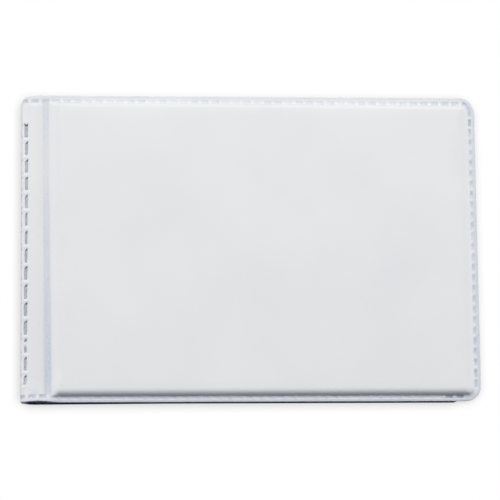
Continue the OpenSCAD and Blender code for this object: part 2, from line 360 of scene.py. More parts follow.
def inDash(b):
    # how hard the dies of the edge weld pressed; on the strip they are wider and softer on their upper side
    w = edgeWeld
    aside = b["lane"] - alongSides(b, w["inset"])
    wider = (1 - pastGroove(b)) * (aside * b["y"] < 0)
    half = w["width"] / 2 + (w["stripWidth"] - w["width"]) * wider
    wall = w["wall"] + (w["stripWall"] - w["wall"]) * wider
    return b["along"] * np.clip((half - np.abs(aside)) / wall, 0, 1)


def edgeDrop(d):
    r = cover["edgeRound"]
    return r - np.sqrt(np.maximum(r * r - np.clip(r - d, 0, r) ** 2, 0))


def plainShape(b):
    # the sheet over board and leaf roots, before the dies press it
    x, y, d = b["u"], b["y"], b["d"]
    s = stripForm
    onStrip = smooth((x - spineX - s["fromSpine"]) / s["spineRise"])
    onStrip = onStrip * (1 - smooth((x - grooveX(y) + s["toGroove"]) / s["grooveFall"]))
    fromEnd = smooth((d - s["fromEnd"]) / np.where(y < 0, s["lowerRise"], s["upperRise"]))
    return panelHeight(b) + s["puff"] * fromEnd * onStrip


def grooveAt(x, y, d):
    # how far a place lies in the groove, and the groove's tint there: pressed tint and painted shade in the
    # groove
    half = groove["flatHalf"] + groove["widen"] * smooth(-y / groove["widenOver"])
    inGroove = 1 - smooth((np.abs(x - grooveX(y)) - half) / groove["wall"])
    inGroove = inGroove * np.where(y > 0, 1, smooth(d - groove["lowerEnd"]))
    paler = groove["paler"] * np.exp(-((y - groove["palerAt"]) / groove["palerOver"]) ** 2)
    tint = groove["tint"] - paler + groove["darker"] * smooth(-y / groove["darkerOver"])
    return inGroove, tint * smooth((d - groove["tintFrom"]) / groove["tintOver"])


def edgeTints(b, dash, border):
    # tints of the dashes, of the border between them and of the strip
    y, d = b["y"], b["d"]
    r = rimTint
    beside = pastGroove(b)
    middle = smooth((halfH - r["fromTop"] - y) / r["topOver"])
    middle = middle * smooth((halfH - r["fromBottom"] + y) / r["bottomOver"])
    tintedW = np.minimum(atSide(b, "tintedW"), r["width"] + r["wider"] * middle)
    outermost = 1 - smooth((d - tintedW) / r["fade"])
    stripTint, gapTint = atSide(b, "stripTint"), atSide(b, "gapTint")
    dashTint = dash * (stripTint + (atSide(b, "dashTint") - stripTint) * beside)
    fromBorder = np.clip((d - cover["borderW"]) / atSide(b, "shoulderW"), 0, 1)
    # painted shade: the pressed tint laid up the shoulder, strongest at its foot
    onBorder = np.maximum(border, cover["shoulderShade"] * (1 - fromBorder) ** 2)
    borderTint = atSide(b, "tint") * onBorder * (gapTint + (1 - gapTint) * outermost)
    borderTint = borderTint * beside + atSide(b, "lipTint") * outermost * (1 - beside)
    stripTone = smooth((stripForm["toneFrom"] - y) / stripForm["toneOver"])
    return dashTint, borderTint, stripForm["tone"] * stripTone * (1 - beside)


def skinOuter(b):
    # height of the outer face over the flat sheet, how hard it was pressed and how far it melted; both marks
    # also carry painted shade
    x, y, d = b["u"], b["y"], b["d"]
    w = edgeWeld
    dash = inDash(b)
    inGroove, grooveTint = grooveAt(x, y, d)
    press, swell, meltAndShade = spineWelds(x, y)
    waver = sum(high * np.sin(x * alongX + y * alongY + start) for high, alongX, alongY, start in borderWaves)
    border = 1 - smooth((d - cover["borderW"] + cover["fadeFrom"]) / cover["fadeOver"])
    high = plainShape(b) + swell + waver * border - edgeDrop(d)
    dashDepth = alongSides(b, w["depth"]) * np.minimum(dash, w["mostPress"])
    high = high - dashDepth - groove["depth"] * inGroove - press
    weldTint = np.minimum(spineWeld["meltTint"] * meltAndShade, 1)
    pressed = np.maximum.reduce([*edgeTints(b, dash, border), grooveTint * inGroove, weldTint])
    # the hardest-pressed dashes take the melted colour: partly a melted tint, partly painted shade in their
    # recess
    meltAndShade = np.maximum(meltAndShade, w["meltAndShade"] * np.clip(dash - w["meltFrom"], 0, w["mostPress"]))
    return high, np.clip(pressed, 0, 1), np.clip(meltAndShade, 0, 1)


def skinInner(b):
    # follows the sheet, and gives way where the dies come through
    high, pressed, meltAndShade = skinOuter(b)
    plain = np.maximum(plainShape(b), 0) - droop(b)
    return np.minimum(plain, high + skinT - cover["leastT"]), pressed, meltAndShade


def weldChannel(x):
    # the lining is drawn down under the spine welds
    s = innerSheet
    fromSpine = x - spineX
    rise = smooth((fromSpine - cover["foldR"]) / s["channelRise"])
    return s["channel"] * rise * (1 - smooth((fromSpine - s["channelEnd"]) / s["channelFall"]))


def liningOuter(b):
    none = np.zeros(b["u"].shape)
    high = np.minimum(-weldChannel(b["u"]) - droop(b), skinInner(b)[0] - innerSheet["gap"])
    return high, none, none


def liningInner(b):
    # the dies print through faintly to the inside
    dash = inDash(b)
    high = innerSheet["print"] * np.minimum(dash, 1) + innerSheet["edgeShare"] * edgeDrop(b["d"])
    return high - weldChannel(b["u"]) - droop(b), dash, np.zeros(dash.shape)


# Grid lines of the cover sheet: across the spine and strip, along the edges, round the corners
def edgeLines():
    # distances from the edge, closest where the sheet curves
    w = edgeWeld
    walls = [m + s * (w["width"] / 2 - k * w["wall"])
             for m in w["inset"] for s in (-1, 1) for k in (0, 1)]
    steps = np.array([0, 0.1, 0.2, 0.32, 0.46, 0.62, 0.8, 1, 1.2, 1.4, 1.7, 2.05, 2.4, 2.8, 3.3])
    shoulder = cover["borderW"] + steps
    rounding = cover["edgeRound"] * np.array([0.2, 1])
    hollow = np.array([0.2, 0.4, 0.52, 0.8, 1.3, 1.4, 1.48])
    return lines(0, cover["rimW"], rounding, walls, w["inset"], hollow, shoulder)


def stripColumns(fine):
    # places along the sheet from the middle of the spine to the panel, as x, z, normal and unrolled x
    r = cover["foldR"]
    wall = [(spineX, z, -1.0, 0.0, spineX + r - r * math.pi / 2 - (stripZ - r - z))
            for z in np.linspace(middleZ, stripZ - r, 5)[:-1]]
    turn = [(spineX + r - r * math.cos(a), stripZ - r + r * math.sin(a), -math.cos(a), math.sin(a),
             spineX + r - r * (math.pi / 2 - a)) for a in np.linspace(0, math.pi / 2, 12)[:-1]]
    dashLines = [c + v for c in (*topDashes, *bottomDashes) for v in dashWalls]
    # closest over the spine welds and over the groove, where the sheet bends
    weldLines = np.arange(spineX + r, spineX + 2.2, 0.08 if fine else 0.25)
    grooveLines = np.arange(hingeX - 1.8, panelStart - 1.6, 0.25 if fine else 0.3)
    flat = lines(spineX + r, panelStart, weldLines, dashLines if fine else [], grooveLines,
                 [panelStart - 0.8])
    level = [(x, stripZ, 0.0, 1.0, x) for x in flat]
    return np.array(wall + turn + level).T


def cornerRadius(d):
    # corners tighten quickly across the border, stay round on the shoulder and end in a point inside it
    share = d / cover["rimW"]
    tighter = (cover["foreCornerR"] - cover["panelCornerR"]) * (1 - share) ** 6
    return cover["panelCornerR"] * (1 - share ** 3) + tighter


def fanOut(common, ends, count=10):
    # grid lines that are shared up to the last of them and then fan out to an end of their own in each row
    share = np.arange(1, count + 1) / count
    shared = np.tile(common, (len(ends), 1))
    return np.hstack([shared, common[-1] + (ends - common[-1])[:, None] * share])


def coverBlocks(side, fine):
    # each block is a grid of places with their normal, their distance d from the edge and the dies along it
    d = edgeLines()
    blocks = []

    # spine and strip, over the whole height
    x, z, nx, nz, u = stripColumns(fine)
    # rows lie closest at the two ends of each spine weld
    weldSteps = np.concatenate([np.arange(-0.4, 0.7, 0.13), [0.9, 1.5, 2.2], np.arange(2.8, 3.5, 0.13)])
    weldRows = [t - v for t in weldTops for v in weldSteps]
    middle = lines(-innerY, innerY, weldRows if fine else [], np.arange(-innerY, innerY, 4))[1:-1]
    ends = []
    for r in (cover["lowerSpineCornerR"], cover["upperSpineCornerR"]):
        shrink = r - np.sqrt(r * r - (r - np.clip(x - spineX, 0, r)) ** 2)
        ends.append(halfH - d - shrink[:, None] * (1 - d / cover["rimW"]) ** cover["cornerFade"])
    rows = np.hstack([-ends[0], np.tile(middle, (len(x), 1)), ends[1][:, ::-1]])
    rowD = np.concatenate([d, halfH - np.abs(middle), d[::-1]])
    wide = np.ones(rows.shape)
    across = u[:, None] * wide
    lowerEnd = dashPress(across, *bottomRow)
    upperEnd = dashPress(across, *topRow)
    blocks.append({
        **{key: v[:, None] * wide for key, v in (("x", x), ("z", z), ("nx", nx), ("nz", nz))},
        "u": across, "y": rows, "d": rowD * wide, "along": np.where(rows < 0, lowerEnd, upperEnd),
        "fore": 0 * wide, "lane": halfH - np.abs(rows),
    })

    # top and bottom borders, then the fore border; their last lines lie where the corners start
    reach = d + cornerRadius(d)
    for up, row in ((1, topRow), (-1, bottomRow)):
        columns = lines(panelStart, innerX - 1, [c + v for c in row[0] for v in dashWalls])
        gx = fanOut(columns, foreX - reach).T
        gd = np.tile(d, (len(gx), 1))
        along = dashPress(gx, *row)
        blocks.append({"x": gx, "y": up * (halfH - gd), "d": gd, "along": along, "fore": 0 * gd})
    tailY = halfH - cornerWeld["tail"]
    tailLines = [tailY, tailY - edgeWeld["wall"]]
    foreRows = lines(1 - innerY, innerY - 1, [c + v for c in foreDashes for v in dashWalls], tailLines)
    gy = fanOut(foreRows, halfH - reach)
    gy = np.hstack([-fanOut(-foreRows[:2][::-1], halfH - reach)[:, :1:-1], gy])
    gd = np.tile(d[:, None], gy.shape[1])
    tail = cornerWeld["press"] * np.clip((gy - tailLines[1]) / edgeWeld["wall"], 0, 1)
    along = np.maximum(dashPress(gy, *foreRow), tail)
    blocks.append({"x": foreX - gd, "y": gy, "d": gd, "along": along, "fore": np.ones(gd.shape)})

    # the two fore corners: an unbroken weld round the upper one, and the ends of dashes on the lower one
    w = cornerWeld
    turns = lines(0, 90, np.arange(0, 91, 5), [w["to"] - w["fade"], w["to"]], gap=0.4)
    ga, gd = np.meshgrid(turns, d, indexing="ij")
    radius = cornerRadius(gd)
    gx = foreX - gd - radius + radius * np.cos(np.radians(ga))
    gy = halfH - gd - radius + radius * np.sin(np.radians(ga))
    unbroken = w["press"] * np.clip((w["to"] - ga) / w["fade"], 0, 1)
    unbroken = np.maximum(unbroken, dashPress(gx, *topRow) * (ga > w["to"] + w["nextDash"]))
    ends = np.where(ga < 45, dashPress(-gy, *foreRow), dashPress(gx, *bottomRow))
    turned = 1 - smooth(ga / 90)
    blocks.append({"x": gx, "y": gy, "d": gd, "along": unbroken, "fore": turned})
    blocks.append({"x": gx, "y": -gy, "d": gd, "along": ends, "fore": turned})
    for b in blocks[1:]:
        b["u"], b["z"] = b["x"], np.full(b["x"].shape, stripZ)
        b["nx"], b["nz"] = np.zeros(b["x"].shape), np.ones(b["x"].shape)

    # flat middle of the panel, coarser than its rim
    gx, gy = np.meshgrid(np.linspace(panelStart + 3, innerX - 3, 14), np.linspace(3 - innerY, innerY - 3, 10),
                         indexing="ij")
    wide = np.ones(gx.shape)
    blocks.append({
        "x": gx, "y": gy, "z": stripZ * wide, "nx": 0 * wide, "nz": wide, "u": gx,
        "d": np.minimum(halfH - np.abs(gy), foreX - gx), "along": 0 * wide, "fore": 0 * wide,
    })
    for b in blocks:
        b["flange"] = flange[side]
        b.setdefault("lane", b["d"])  # distance from the edge as the rows of dies run
    return blocks


meshJoin = {"mergeM": 2e-7, "sharpDegrees": 62}  # closer points become one, steeper edges stay sharp


class SheetMesh:
    # gathers points and faces, then makes one closed mesh of them
    def __init__(self):
        self.points, self.faces, self.marks = [], [], []
        self.count = 0

    def add(self, points, marks):
        start = self.count
        self.points.append(points.reshape(-1, 3))
        self.marks.append(marks.reshape(-1, marks.shape[-1]))
        self.count += len(self.points[-1])
        return start + np.arange(self.count - start).reshape(points.shape[:-1])

    def quads(self, ids):
        a, b, c, e = ids[:-1, :-1], ids[1:, :-1], ids[1:, 1:], ids[:-1, 1:]
        self.faces += np.stack([a, b, c, e], -1).reshape(-1, 4).tolist()

    def band(self, ids, other):
        self.quads(np.stack([ids, other]))

    def zipTogether(self, outer, inner):
        # triangles between two rows with different numbers of points
        i = j = 0
        n, m = len(outer) - 1, len(inner) - 1
        while i < n or j < m:
            if j == m or (i < n and (i + 1) * m <= (j + 1) * n):
                self.faces.append([outer[i], outer[i + 1], inner[j]])
                i += 1
            else:
                self.faces.append([outer[i], inner[j + 1], inner[j]])
                j += 1

    def build(self, name, material, markNames):
        mesh = bpy.data.meshes.new(name)
        points = np.concatenate(self.points) * mm
        mesh.from_pydata(points.tolist(), [], self.faces)
        marks = np.concatenate(self.marks)
        for k, markName in enumerate(markNames):
            values = marks[:, k].astype(np.float32)
            mesh.attributes.new(markName, "FLOAT", "POINT").data.foreach_set("value", values)
        bm = bmesh.new()
        bm.from_mesh(mesh)
        bmesh.ops.remove_doubles(bm, verts=bm.verts, dist=meshJoin["mergeM"])
        bmesh.ops.recalc_face_normals(bm, faces=bm.faces)
        bm.to_mesh(mesh)
        bm.free()
        mesh.shade_smooth()
        mesh.set_sharp_from_angle(angle=math.radians(meshJoin["sharpDegrees"]))
        piece = bpy.data.objects.new(name, mesh)
        mesh.materials.append(material)
        scene.collection.objects.link(piece)
        return piece


def stripBow(x, y, d):
    # both ends of the strip draw in, the lower one lifts over the leaf roots, and the upper border spreads
    s = stripForm
    atEnd = 1 - smooth(d / s["bowW"])
    along = np.clip((x - spineX - s["bowFrom"]) / s["bowLength"], 0, 1)
    hump = np.sin(math.pi * along ** 0.8) ** 2
    drawn = np.where(y > 0, -s["drawIn"][0], s["drawIn"][1])
    drawn = drawn * (1 - smooth((x - spineX) / s["drawLength"])) * atEnd
    lip = np.where(y > 0, s["lipOut"] * hump * (1 - smooth(d / s["lipW"])), 0)
    bow = np.where(y < 0, hump * atEnd, 0)
    atTop = 1 - smooth((halfH - y) / cover["spreadW"])
    spread = np.interp(x, (spineX, foreX), cover["topSpread"]) * atTop
    return s["bowIn"] * bow + drawn + lip + spread, s["bowUp"] * bow


def coverSheet(name, material, outside, inside, outerFace, innerFace, side, fine):
    # a closed sheet between two depths below the outer face of the cover
    sheet = SheetMesh()
    front = side == "front"
    blocks = coverBlocks(side, fine)
    ids = {"outer": [], "inner": []}

    def place(b, face, depth):
        high, pressed, meltAndShade = face(b)
        high = high - depth
        shift, lift = stripBow(b["x"], b["y"], b["d"])
        if not front:
            lift = 0 * lift
            shift = np.interp(b["x"], (spineX, foreX), cover["askew"])
            shift = shift * smooth((b["x"] - spineX) / cover["squareUp"])
        x = b["x"] + b["nx"] * high
        y = b["y"] + shift
        z = b["z"] + b["nz"] * (high + lift)
        if not front:
            z = bookT - z
        return np.stack([x, y, z], -1), np.stack([pressed, meltAndShade, b["u"], b["y"]], -1)

    for key, face, depth in (("outer", outerFace, outside), ("inner", innerFace, inside)):
        for b in blocks:
            ids[key].append(sheet.add(*place(b, face, depth)))
            sheet.quads(ids[key][-1])
        strip, top, bottom, fore, _, _, flat = ids[key]
        nd = len(edgeLines())
        sheet.zipTogether(strip[-1, nd - 1:len(strip[-1]) - nd + 1], flat[0])
        sheet.zipTogether(fore[-1], flat[-1])
        sheet.zipTogether(top[:, -1], flat[:, -1])
        sheet.zipTogether(bottom[:, -1], flat[:, 0])

    # cut edges between the two faces
    strip, top, bottom, fore, upperTurn, lowerTurn = list(zip(ids["outer"], ids["inner"]))[:6]
    sheet.band(*[s[0] for s in strip])
    sheet.band(*[s[:, 0] for s in strip])
    sheet.band(*[s[:, -1] for s in strip])
    for pair in (top, bottom, upperTurn, lowerTurn):
        sheet.band(*[s[:, 0] for s in pair])
    sheet.band(*[s[0] for s in fore])
    return sheet.build(name, material, ("pressed", "meltAndShade", "sheetX", "sheetY"))


# Colours and nodes
def hexLinear(code):
    parts = [int(code[i:i + 2], 16) / 255 for i in (1, 3, 5)]
    return (*[c / 12.92 if c <= 0.04045 else ((c + 0.055) / 1.055) ** 2.4 for c in parts], 1)


def addNode(tree, kind, settings=None, inputs=None):
    made = tree.nodes.new(kind)
    for key, value in (settings or {}).items():
        setattr(made, key, value)
    for key, value in (inputs or {}).items():
        if isinstance(value, bpy.types.NodeSocket):
            tree.links.new(value, made.inputs[key])
        else:
            made.inputs[key].default_value = value
    return made


def newMaterial(name):
    material = bpy.data.materials.new(name)
    material.use_nodes = True
    tree = material.node_tree
    tree.nodes.clear()
    shader = addNode(tree, "ShaderNodeBsdfPrincipled")
    addNode(tree, "ShaderNodeOutputMaterial", None, {"Surface": shader.outputs["BSDF"]})
    return material, tree, shader


def sheetPlace(tree):
    # place on the flat sheet in millimetres, so that a pattern keeps its scale and bends with the sheet
    x, y = [addNode(tree, "ShaderNodeAttribute", {"attribute_name": key}).outputs["Fac"]
            for key in ("sheetX", "sheetY")]
    return addNode(tree, "ShaderNodeCombineXYZ", None, {"X": x, "Y": y}).outputs[0]


pvcIor = 1.53
coverLook = {
    "white": "#E7E7E8", "shade": "#E1E1E3", "pressed": "#C1C8D4", "meltAndShade": "#646D7E", "dust": "#8F9093",
    "grainMm": 0.45, "grainDepthMm": 0.012, "cloudMm": 24,
    "dustMm": 17, "dustSize": 0.012, "dustShare": 0.8,  # flecks of 0.2 mm, one in each 17 mm
    "grainShare": 0.35,      # of the grain in the tone, beside the clouds
    "toneRange": (0.45, 0.95), "grainRange": (0.3, 0.7), "mottle": (0.6, 1.15), "bumpStrength": 0.5,
    "roughness": 0.55, "pressedRoughness": 0.38, "specular": 0.35,
}
liningLook = dict(coverLook, white="#E0E2E5", shade="#DADCE0", pressed="#CDD3DE",
                  grainMm=0.7, grainDepthMm=0.006)


def matteVinyl(name, look):
    # PVC sheet, calendered against a fine-grained roller: matte, even white with a faint pebble.
    # The hot weld dies melt the grain flat, so pressed places turn bluish and a little glossier. The pressed
    # colour is also laid on as painted shade up the shoulders, in the groove and along the hollow under the
    # lower edge, and the melted colour as painted shade in the spine welds, their pits and dents, and the
    # hardest-pressed dashes.
    material, tree, shader = newMaterial(name)
    place = sheetPlace(tree)
    grain = addNode(tree, "ShaderNodeTexNoise", None, {
        "Vector": place, "Scale": 1 / look["grainMm"], "Detail": 2, "Roughness": 0.55}).outputs["Fac"]
    cloud = addNode(tree, "ShaderNodeTexNoise", None, {
        "Vector": place, "Scale": 1 / look["cloudMm"], "Detail": 3}).outputs["Fac"]
    tone = addNode(tree, "ShaderNodeMath", {"operation": "MULTIPLY_ADD"}, {
        0: grain, 1: look["grainShare"], 2: cloud}).outputs[0]
    tone = addNode(tree, "ShaderNodeMapRange", None, {
        "Value": tone, "From Min": look["toneRange"][0], "From Max": look["toneRange"][1]}).outputs[0]
    mottle = addNode(tree, "ShaderNodeMapRange", None, {
        "Value": grain, "From Min": look["grainRange"][0], "From Max": look["grainRange"][1],
        "To Min": look["mottle"][0], "To Max": look["mottle"][1]}).outputs[0]
    shares = {"shade": tone}
    # both marks hold the press and melt tints, and painted shade as well
    for key in ("pressed", "meltAndShade"):
        mark = addNode(tree, "ShaderNodeAttribute", {"attribute_name": key}).outputs["Fac"]
        shares[key] = addNode(tree, "ShaderNodeMath", {"operation": "MULTIPLY", "use_clamp": True}, {
            0: mark, 1: mottle}).outputs[0]
    dust = addNode(tree, "ShaderNodeTexVoronoi", None, {"Vector": place, "Scale": 1 / look["dustMm"]})
    shares["dust"] = addNode(tree, "ShaderNodeMapRange", None, {
        "Value": dust.outputs["Distance"], "From Min": look["dustSize"] * 0.4, "From Max": look["dustSize"],
        "To Min": look["dustShare"], "To Max": 0}).outputs[0]
    colour = hexLinear(look["white"])
    for key, share in shares.items():
        colour = addNode(tree, "ShaderNodeMixRGB", None, {
            "Fac": share, "Color1": colour, "Color2": hexLinear(look[key])}).outputs[0]
    rough = addNode(tree, "ShaderNodeMapRange", None, {
        "Value": shares["pressed"], "To Min": look["roughness"],
        "To Max": look["pressedRoughness"]}).outputs[0]
    bump = addNode(tree, "ShaderNodeBump", None, {
        "Height": grain, "Strength": look["bumpStrength"], "Distance": look["grainDepthMm"] * mm}).outputs[0]
    for key, value in {"Base Color": colour, "Roughness": rough, "Normal": bump}.items():
        tree.links.new(value, shader.inputs[key])
    shader.inputs["IOR"].default_value = pvcIor
    shader.inputs["Specular IOR Level"].default_value = look["specular"]
    return material


boardLook = {
    "grey": "#8F8A82", "fibre": "#6F6A62", "fibreMm": 0.6, "fibreDepthMm": 0.05, "bumpStrength": 0.4,
    "roughness": 0.9,
}


def greyboard(name, look):
    # recycled paper pulp pressed into board: dull, warm grey, flecked with darker fibre
    material, tree, shader = newMaterial(name)
    place = addNode(tree, "ShaderNodeTexCoord").outputs["Object"]
    fibre = addNode(tree, "ShaderNodeTexNoise", None, {
        "Vector": place, "Scale": 1 / (look["fibreMm"] * mm), "Detail": 4}).outputs["Fac"]
    colour = addNode(tree, "ShaderNodeMixRGB", None, {
        "Fac": fibre, "Color1": hexLinear(look["grey"]), "Color2": hexLinear(look["fibre"])}).outputs[0]
    bump = addNode(tree, "ShaderNodeBump", None, {
        "Height": fibre, "Strength": look["bumpStrength"], "Distance": look["fibreDepthMm"] * mm}).outputs[0]
    tree.links.new(colour, shader.inputs["Base Color"])
    tree.links.new(bump, shader.inputs["Normal"])
    shader.inputs["Roughness"].default_value = look["roughness"]
    return material


filmLook = {
    "clear": {"colour": "#EAF1F5", "alpha": 0.045, "roughness": 0.06, "ribbed": False},
    "seal": {"colour": "#DDE6EC", "alpha": 0.4, "roughness": 0.3, "ribbed": True},
    # painted shade: the fused film is coloured dark for the hollow inside the spine
    "root": {"colour": "#5E6A78", "alpha": 0.85, "roughness": 0.3, "ribbed": True},
    "slantAlpha": 0.85, "slantPower": 5, "bumpStrength": 0.6,
    "rippleMm": 9, "rippleDepthMm": 0.15, "ribMm": 0.8, "bandRibs": 4, "ribDepthMm": 0.03,
    # painted shade: the film edges are coloured nearly black
    "edge": "#040507", "streak": "#0A0D11", "streakMm": 1.5, "streakRange": (0.5, 0.8), "edgeRoughness": 0.5,
}


def clearFilm(name, look, sort):
    # clear PVC film, cast between polished rollers: glossy, nearly invisible face on and brighter at a slant.
    # Where a ribbed die has sealed two films, fine ribs scatter the light and the film turns milky.
    material, tree, shader = newMaterial(name)
    place = sheetPlace(tree)
    kind = look[sort]
    slant = addNode(tree, "ShaderNodeLayerWeight", None, {"Blend": 0.5}).outputs["Facing"]
    gloss = addNode(tree, "ShaderNodeMath", {"operation": "POWER"}, {
        0: slant, 1: look["slantPower"]}).outputs[0]
    alpha = addNode(tree, "ShaderNodeMapRange", None, {
        "Value": gloss, "To Min": kind["alpha"], "To Max": look["slantAlpha"]}).outputs[0]
    if kind["ribbed"]:
        # single ribs are too fine to show, so a band of the wave is as long as a few of them
        height = addNode(tree, "ShaderNodeTexWave", {"bands_direction": "DIAGONAL"}, {
            "Vector": place, "Scale": 2 * math.pi / (10 * look["bandRibs"] * look["ribMm"])}).outputs["Fac"]
        depth = look["ribDepthMm"]
    else:
        height = addNode(tree, "ShaderNodeTexNoise", None, {
            "Vector": place, "Scale": 1 / look["rippleMm"], "Detail": 1}).outputs["Fac"]
        depth = look["rippleDepthMm"]
    bump = addNode(tree, "ShaderNodeBump", None, {
        "Height": height, "Strength": look["bumpStrength"], "Distance": depth * mm}).outputs[0]
    tree.links.new(alpha, shader.inputs["Alpha"])
    tree.links.new(bump, shader.inputs["Normal"])
    shader.inputs["Base Color"].default_value = hexLinear(kind["colour"])
    shader.inputs["Roughness"].default_value = kind["roughness"]
    shader.inputs["IOR"].default_value = pvcIor
    return material


def filmEdge(name, look):
    # cut edge of clear film, painted nearly black: the dark look of light running off inside the sheet and
    # the shade in the gap under the front cover are painted into its colour
    material, tree, shader = newMaterial(name)
    place = addNode(tree, "ShaderNodeTexCoord").outputs["Object"]
    streak = addNode(tree, "ShaderNodeTexNoise", None, {
        "Vector": place, "Scale": 1 / (look["streakMm"] * mm), "Detail": 2}).outputs["Fac"]
    share = addNode(tree, "ShaderNodeMapRange", None, {
        "Value": streak, "From Min": look["streakRange"][0], "From Max": look["streakRange"][1]}).outputs[0]
    colour = addNode(tree, "ShaderNodeMixRGB", None, {
        "Fac": share, "Color1": hexLinear(look["edge"]), "Color2": hexLinear(look["streak"])}).outputs[0]
    tree.links.new(colour, shader.inputs["Base Color"])
    shader.inputs["Roughness"].default_value = look["edgeRoughness"]
    shader.inputs["IOR"].default_value = pvcIor
    shader.inputs["Specular IOR Level"].default_value = 0
    return material


vinylSkin = matteVinyl("matte white PVC sheet", coverLook)
vinylLining = matteVinyl("smooth white PVC lining", liningLook)
board = greyboard("greyboard", boardLook)
film = clearFilm("clear PVC film", filmLook, "clear")
sealedFilm = clearFilm("heat-sealed PVC film", filmLook, "seal")
darkPaintedRootFilm = clearFilm("fused PVC film, painted dark", filmLook, "root")
paintedDarkFilmEdge = filmEdge("cut edge of PVC film, painted dark", filmLook)
print("materials:", len(bpy.data.materials))


for side in ("front", "back"):
    skin = coverSheet(side + "_cover_skin", vinylSkin, 0, skinT, skinOuter, skinInner, side, True)
    lining = coverSheet(side + "_cover_lining", vinylLining, skinT, skinT + liningT, liningOuter, liningInner,
                        side, False)
    for piece, node, slotName in ((skin, "skin", "cover_vinyl"), (lining, "liner", "liner_vinyl")):
        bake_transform(piece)
        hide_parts(side + "_" + node, "spine_" + node)
    frame["nodes"][side + "_board"].data.materials.clear()
    frame["nodes"][side + "_board"].data.materials.append(board)
print("cover:", len(skin.data.vertices), "points a skin,", len(lining.data.vertices), "points a lining")


# Leaves: two films and the seals between them, pressed together along their lower edge
leaf = {
    "cornerR": 1.0,
    "pinch": 0.24,           # share of their height that the leaves lose at their lower edge
    "pinchW": 2.2,
    "sag": 0.54,             # how far the slack leaves slip towards the lower edge
    "bendStart": -2.0, "bendEnd": 3.5,  # they bend from there to there, seen from the groove
    "rootW": 2, "rootLap": 0.3, "rootTrim": 0.6, "waist": 0.12,
    "sealW": 2, "sealBreak": 0.2, "sealSetback": 0.6,
}
leafNames = sorted(name for name in frame["bodies"] if name.startswith("leaf_"))


def filmSheet(name, panes, z0, z1, face, edge):
    # closed flat panes of one thickness; a pane is its columns and its lower and upper outline
    sheet = SheetMesh()
    for columns, lowY, highY in panes:
        pinchRows = np.linspace(0, leaf["pinchW"], 6)
        share = np.linspace(0, 1, 8)[1:]
        above = lowY[:, None] + leaf["pinchW"] + (highY - lowY - leaf["pinchW"])[:, None] * share
        gy = np.hstack([lowY[:, None] + pinchRows, above])
        gx = columns[:, None] * np.ones(gy.shape)
        # the hanging edge of the front cover presses the leaves together along their lower edge
        pinched = leaf["pinch"] * np.clip(1 - (gy - lowY.min()) / leaf["pinchW"], 0, 1)
        faces = []
        for z in (z0, z1):
            gz = rootLow.z + (z - rootLow.z) * (1 - pinched)
            points = np.stack([gx, gy - leaf["sag"], gz], -1)
            faces.append(sheet.add(points, np.stack([gx, gy], -1)))
            sheet.quads(faces[-1])
        for rim in (np.s_[0], np.s_[-1], np.s_[:, 0], np.s_[:, -1]):
            sheet.band(faces[0][rim], faces[1][rim])
    piece = sheet.build(name, face, ("sheetX", "sheetY"))
    piece.data.materials.append(edge)
    for polygon in piece.data.polygons:
        polygon.material_index = int(abs(polygon.normal.z) < 0.5)
    return piece


def leafOutline(columns, low, high):
    # outline with its two fore corners rounded
    r = leaf["cornerR"]
    inCorner = np.clip(columns - high.x + r, 0, r)
    shrink = r - np.sqrt(r * r - inCorner ** 2)
    return columns, low.y + shrink, high.y - shrink


for body in leafNames:
    rootX = rootLow.x + leaf["rootW"] - leaf["rootLap"]
    made = []
    for part in ("front_film", "back_film"):
        low, high = boxMm(body + "_" + part)
        hingeColumns = np.arange(hingeX - 3, hingeX + 4.6, 0.3)
        corner = high.x - leaf["cornerR"] * (1 - np.sin(np.linspace(0, math.pi / 2, 7)))
        columns = lines(rootX, high.x, hingeColumns, np.linspace(hingeX + 5, high.x, 14), corner)
        outline = leafOutline(columns, low, high)
        made.append((part, filmSheet(body + "_" + part + "_sheet", [outline], low.z, high.z, film, paintedDarkFilmEdge)))
    low, high = boxMm(body + "_heat_seals")
    sealW = leaf["sealW"]
    spineSeal = lines(low.x, low.x + sealW, np.arange(low.x, low.x + sealW, 0.25))
    footStart, footEnd = low.x + sealW + leaf["sealBreak"], high.x - sealW - leaf["sealBreak"]
    footSeal = lines(footStart, footEnd, np.linspace(footStart, high.x, 20))
    foreSeal = np.linspace(high.x - sealW, high.x - leaf["sealSetback"], 6)
    filmLow, filmHigh = boxMm(body + "_front_film")
    panes = [(c, np.maximum(leafOutline(c, filmLow, filmHigh)[1], low.y), np.full(c.shape, top))
             for c, top in ((spineSeal, high.y), (footSeal, low.y + sealW), (foreSeal, high.y))]
    bars = filmSheet(body + "_heat_seal_bars", panes, low.z, high.z, sealedFilm, paintedDarkFilmEdge)
    made.append(("heat_seals", bars))
    for part, piece in made:
        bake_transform(piece)
        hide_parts(body + "_" + part)


